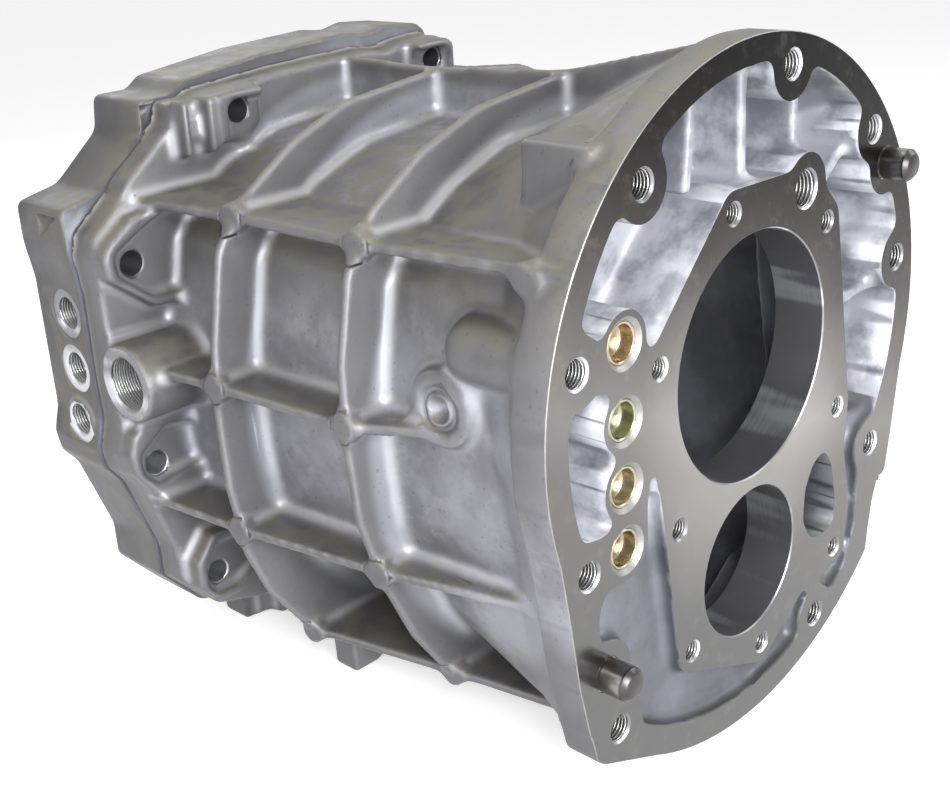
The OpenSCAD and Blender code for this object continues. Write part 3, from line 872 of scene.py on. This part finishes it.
def assign_finishes(blank):
    """Gives each face its finish by where it lies."""
    mesh = blank.data
    count = len(mesh.polygons)
    centres = np.zeros(count * 3)
    normals = np.zeros(count * 3)
    mesh.polygons.foreach_get("center", centres)
    mesh.polygons.foreach_get("normal", normals)
    centres = centres.reshape(-1, 3)
    normals = normals.reshape(-1, 3)
    finish = np.zeros(count, np.int32)
    flat_front = (np.abs(centres[:, 1] - FRONT_Y) < 0.05 * MM) & (normals[:, 1] < -0.9)
    flat_rear = (np.abs(centres[:, 1] - REAR_Y) < 0.05 * MM) & (normals[:, 1] > 0.9)
    finish[flat_front | flat_rear] = FACED
    for kind in ("threaded_hole", "bore"):
        for name, mouth, inward, radius, depth in holes_of(kind):
            along = (centres - np.array(mouth)) @ np.array(inward)
            off = np.linalg.norm(centres - np.array(mouth) - along[:, None] * np.array(inward), axis=1)
            edge = BORE_EDGE if kind == "bore" else thread_crest(name, radius) - radius + CHAMFER
            wall = (off < radius + edge + 0.1 * MM) & (along > -0.6 * MM) & (along < depth + 6 * MM)
            wall &= normals @ np.array(inward) < 0.3
            finish[wall & (finish == CAST)] = BORED
            if family(name) in SPOT_MARGIN:
                spot = thread_crest(name, radius) + SPOT_MARGIN[family(name)]
                finish[(np.abs(along - SPOT_DEPTH) < 0.05 * MM) & (off < spot)] = BORED
    face_edge = (centres[:, 1] > FRONT_Y) & (centres[:, 1] < 2 * RIM_EDGE)
    face_edge &= np.abs(normals[:, 1] + 0.7) < 0.12
    out = np.hypot(centres[:, 0], centres[:, 2] - RIM_MIDDLE_Z)
    finish[face_edge & (out > RIM_INNER) & (finish == CAST)] = BROKEN
    for middle, radius, depth, edge in pin_places():
        off = np.hypot(centres[:, 0] - middle.x, centres[:, 2] - middle.z)
        pin_bore = (off < radius + edge + 0.2 * MM) & (centres[:, 1] < depth + MM)
        finish[pin_bore & (finish == CAST)] = BROKEN
    mesh.polygons.foreach_set("material_index", finish)
    mesh.polygons.foreach_set("use_smooth", finish == CAST)


def mark_painted_light_and_shade(blank):
    """Stores where the cast skin gets painted light, in the upper front pockets, and painted shade, on the
    inside, in the low recess, in the window and in the seam.
    """
    mesh = blank.data
    points = np.zeros(len(mesh.vertices) * 3)
    mesh.vertices.foreach_get("co", points)
    points = points.reshape(-1, 3)
    lower = np.minimum(points[:, 2] - LOBE_Z, 0)
    upper = np.maximum(points[:, 2], 0)
    out = np.sqrt(points[:, 0] ** 2 + lower ** 2 + upper ** 2)
    forwards = np.tile((0.0, -0.1, 0.0), (len(points), 1))
    to_middle = np.array((0.0, 0.0, FLANGE_MIDDLE_Z)) - points
    to_middle[:, 1] = 0
    step_in = to_middle / np.maximum(np.linalg.norm(to_middle, axis=1), MM)[:, None] * 6 * MM
    ahead = with_clear_way(blank, points, (points[:, 1] < POCKET_LEVEL) & (out < POCKET_OUT), forwards)
    below_pad = (np.abs(points[:, 0]) < 80 * MM) & (points[:, 2] < -100 * MM) & (out < BELOW_PAD_OUT)
    near = (out < NEAR_OUT) | below_pad
    ahead &= near | with_clear_way(blank, points, ahead & ~near, step_in)
    # Points behind the bearing wall with a clear way to the middle lie on the inside, which gets painted
    # shade
    behind = points[:, 1] > BEARING_WALL - 0.1 * MM
    inner = with_clear_way(blank, points, behind, to_middle * 0.8).astype(float)
    # The low recess below the pad gets painted shade in place of the pockets' painted light
    low = np.clip((LOW_RECESS_TOP - points[:, 2]) / LOW_RECESS_FADE, 0, 1)
    pocket = ahead * (1 - low)
    inner = np.maximum(inner, ahead * low)
    # The window gets painted shade
    window = np.abs(points[:, 0] - WINDOW_AT[0]) < WINDOW_HALF[0]
    window &= np.abs(points[:, 2] - WINDOW_AT[1]) < WINDOW_HALF[1]
    inner[window] = 0.9
    # The seam groove gets painted shadow
    inner[(points[:, 1] > SEAM_Y[0] - 0.05 * MM) & (points[:, 1] < SEAM_Y[1] + 0.05 * MM)] = 1
    for label, marked in (("pocket", pocket), ("inner", inner)):
        stored = mesh.attributes.new(label, "FLOAT", "POINT")
        stored.data.foreach_set("value", marked.astype(np.float32))


def case_casting():
    blank = blank_object()
    machine(blank)
    blank.data.materials.clear()
    for finish in (cast_skin(), machined_face(), bored_wall(), broken_edge()):
        blank.data.materials.append(finish)
    assign_finishes(blank)
    mark_painted_light_and_shade(blank)
    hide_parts("case")
    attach(blank, "root")


# Threads
def thread_tree(finish):
    """Geometry nodes that wind a thread of given size into each hole of a family."""
    tree = bpy.data.node_groups.new("wound_threads", "GeometryNodeTree")
    face = tree.interface
    face.new_socket("Holes", in_out="INPUT", socket_type="NodeSocketGeometry")
    for label, value in (("Crest radius", 6 * MM), ("Pitch", 1.75 * MM), ("Turns", 10.0)):
        socket = face.new_socket(label, in_out="INPUT", socket_type="NodeSocketFloat")
        socket.default_value = value
    face.new_socket("Threads", in_out="OUTPUT", socket_type="NodeSocketGeometry")
    sheet = Sheet(tree)
    given = sheet.node("NodeGroupInput")
    radius, pitch, turns = [given.out(label) for label in ("Crest radius", "Pitch", "Turns")]
    winding = sheet.node("GeometryNodeCurveSpiral", None, {
        "Resolution": 28, "Rotations": turns, "Start Radius": radius, "End Radius": radius,
        "Height": turns * pitch})
    upright = sheet.node("GeometryNodeSetCurveNormal", {"mode": "Z_UP"}, {"Curve": winding})
    ridge = sheet.node("GeometryNodeCurvePrimitiveCircle", {"mode": "RADIUS"}, {
        "Resolution": 3, "Radius": pitch * 0.56})
    swept = sheet.node("GeometryNodeCurveToMesh", None, {"Curve": upright, "Profile Curve": ridge,
                                                         "Fill Caps": True})
    turned = sheet.node("GeometryNodeInputNamedAttribute", {"data_type": "FLOAT_VECTOR"}, {"Name": "turn"})
    copies = sheet.node("GeometryNodeInstanceOnPoints", None, {
        "Points": given.out("Holes"), "Instance": swept, "Rotation": turned})
    real = sheet.node("GeometryNodeRealizeInstances", None, {"Geometry": copies})
    shaded = sheet.node("GeometryNodeSetMaterial", None, {"Geometry": real, "Material": finish})
    sheet.node("NodeGroupOutput", None, {"Threads": shaded})
    return tree


def wound_threads():
    tree = thread_tree(thread_metal())
    identifiers = {s.name: s.identifier for s in tree.interface.items_tree if s.in_out == "INPUT"}
    groups = {}
    for hole in holes_of("threaded_hole"):
        groups.setdefault(family(hole[0]), []).append(hole)
    for label, holes in groups.items():
        pitch = THREAD_PITCH[label]
        radius, depth = holes[0][3], holes[0][4]
        mesh = bpy.data.meshes.new(label + "s")
        sunk = CHAMFER + 0.3 * pitch
        mesh.from_pydata([tuple(mouth + inward * sunk) for _, mouth, inward, _, _ in holes], [], [])
        stored = mesh.attributes.new("turn", "FLOAT_VECTOR", "POINT")
        for item, (_, _, inward, _, _) in zip(stored.data, holes):
            item.vector = inward.to_track_quat("Z", "Y").to_euler()
        piece = object_from(label + "s", mesh)
        modifier = piece.modifiers.new("winding", "NODES")
        modifier.node_group = tree
        modifier[identifiers["Crest radius"]] = radius + 0.5 * pitch
        modifier[identifiers["Pitch"]] = pitch
        modifier[identifiers["Turns"]] = (min(depth, THREAD_REACH) - CHAMFER - pitch) / pitch
        graph = bpy.context.evaluated_depsgraph_get()
        wound = bpy.data.meshes.new_from_object(piece.evaluated_get(graph))
        piece.modifiers.clear()
        piece.data = wound
        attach(piece, "root")


# Dowels and cup plugs
def turned_piece(node, profile, finish):
    """A finely turned piece in place of a packed pin or cup. Its profile starts at the inner end."""
    low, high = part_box(node)
    middle = ((low.x + high.x) / 2, high.y, (low.z + high.z) / 2)
    piece = object_from(node + "_turned", mesh_from(node, *lathe(middle, (0, -1, 0), profile, 64)))
    piece.data.materials.append(finish)
    for polygon in piece.data.polygons:
        polygon.use_smooth = True
    bpy.context.view_layer.update()
    piece.data.set_sharp_from_angle(angle=math.radians(32))
    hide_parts(node)
    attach(piece, "root")


def dowels(finish):
    for node in ("upper_dowel", "lower_dowel"):
        low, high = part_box(node)
        wide = (high.x - low.x) / 2
        r = mounts[node + "_end"]["dims"]["r_mm"] * MM
        length = high.y - low.y
        face = high.y - FRONT_Y
        profile = [(0, wide - MM), (MM, wide), (face - 0.6 * MM, wide), (face - 0.6 * MM, r - 0.6 * MM),
                   (face + 0.4 * MM, r - 0.6 * MM), (face + 0.5 * MM, r - 0.1 * MM), (face + 0.8 * MM, r),
                   (length - 2.3 * MM, r), (length - 1.9 * MM, r - 0.3 * MM),
                   (length - 0.3 * MM, r - 2.0 * MM), (length, r - 2.5 * MM)]
        turned_piece(node, profile, finish)


def cup_plugs():
    shades = [((0.31, 0.25, 0.17), (0.50, 0.43, 0.31)), ((0.27, 0.27, 0.19), (0.45, 0.45, 0.33)),
              ((0.28, 0.25, 0.18), (0.47, 0.43, 0.32)), ((0.29, 0.25, 0.18), (0.48, 0.43, 0.32))]
    for index, (deep, pale) in enumerate(shades, 1):
        node = f"rail_plug_{index}"
        low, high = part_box(node)
        r = (high.x - low.x) / 2
        length = high.y - low.y
        wall = 1.5 * MM
        profile = [(0, r - 1.2 * MM), (0.4 * MM, r - 0.4 * MM), (1.2 * MM, r), (length - 0.4 * MM, r),
                   (length, r - 0.4 * MM), (length, r - wall + 0.4 * MM), (length - 0.4 * MM, r - wall),
                   (wall + 2.2 * MM, r - wall), (wall + 1.0 * MM, r - wall - 0.5 * MM),
                   (wall + 0.3 * MM, r - wall - 1.6 * MM), (wall, r - wall - 3 * MM)]
        turned_piece(node, profile, plated_cup(f"plating_{index}", deep, pale))


# Studio
def studio():
    floor_finish, sheet, place = finish_of("studio_floor")
    path = sheet.node("ShaderNodeLightPath", None, None, output="Is Camera Ray")
    seen = sheet.clamp(path + path.out("Is Glossy Ray") + path.out("Is Transmission Ray"))
    matt = sheet.node("ShaderNodeBsdfDiffuse", None, {"Color": (0.86, 0.86, 0.86, 1)})
    glow = sheet.node("ShaderNodeEmission", None, {"Color": (1, 1, 1, 1), "Strength": seen * 0.52})
    both = sheet.node("ShaderNodeAddShader", None, {0: matt, 1: glow})
    sheet.node("ShaderNodeOutputMaterial", None, {"Surface": both})
    half = 6.0
    floor = object_from("studio_floor", mesh_from("studio_floor", np.array([
        (-half, -half, GROUND_Z), (half, -half, GROUND_Z), (half, half, GROUND_Z), (-half, half, GROUND_Z)]),
        np.array([(0, 1, 2), (0, 2, 3)])))
    floor.data.materials.append(floor_finish)

    world = bpy.data.worlds.new("studio")
    world.use_nodes = True
    world.node_tree.nodes.clear()
    sheet = Sheet(world.node_tree)
    path = sheet.node("ShaderNodeLightPath", None, None, output="Is Camera Ray")
    seen = sheet.clamp(path + path.out("Is Glossy Ray") + path.out("Is Transmission Ray"))
    sky = sheet.node("ShaderNodeBackground", None, {"Color": (1, 1, 1, 1), "Strength": 0.42 + seen * 0.58})
    sheet.node("ShaderNodeOutputWorld", None, {"Surface": sky})
    scene.world = world

    def lamp(name, at, aim, size, power):
        data = bpy.data.lights.new(name, "AREA")
        data.shape = "DISK"
        data.size = size
        data.energy = power
        light = bpy.data.objects.new(name, data)
        light.location = at
        light.rotation_euler = (Vector(aim) - Vector(at)).to_track_quat("-Z", "Y").to_euler()
        scene.collection.objects.link(light)

    middle = (0, 0.15, -0.02)
    lamp("key_lamp", (-0.8, -0.8, 0.7), middle, 0.3, 6)
    lamp("front_lamp", (-0.45, -1.4, 0.3), middle, 0.9, 28)
    lamp("side_lamp", (-1.3, 0.5, 0.5), middle, 0.6, 2)
    lamp("low_lamp", (-1.1, -0.4, -0.02), middle, 1.0, 4.5)
    lamp("right_lamp", (1.1, -0.6, 0.8), middle, 0.8, 6)
    lamp("top_lamp", (0.1, 0.3, 1.4), middle, 0.8, 5)
    lamp("rear_lamp", (0.5, 1.5, 0.7), middle, 0.8, 3)


place_camera()
case_casting()
wound_threads()
dowels(dowel_steel())
cup_plugs()
studio()
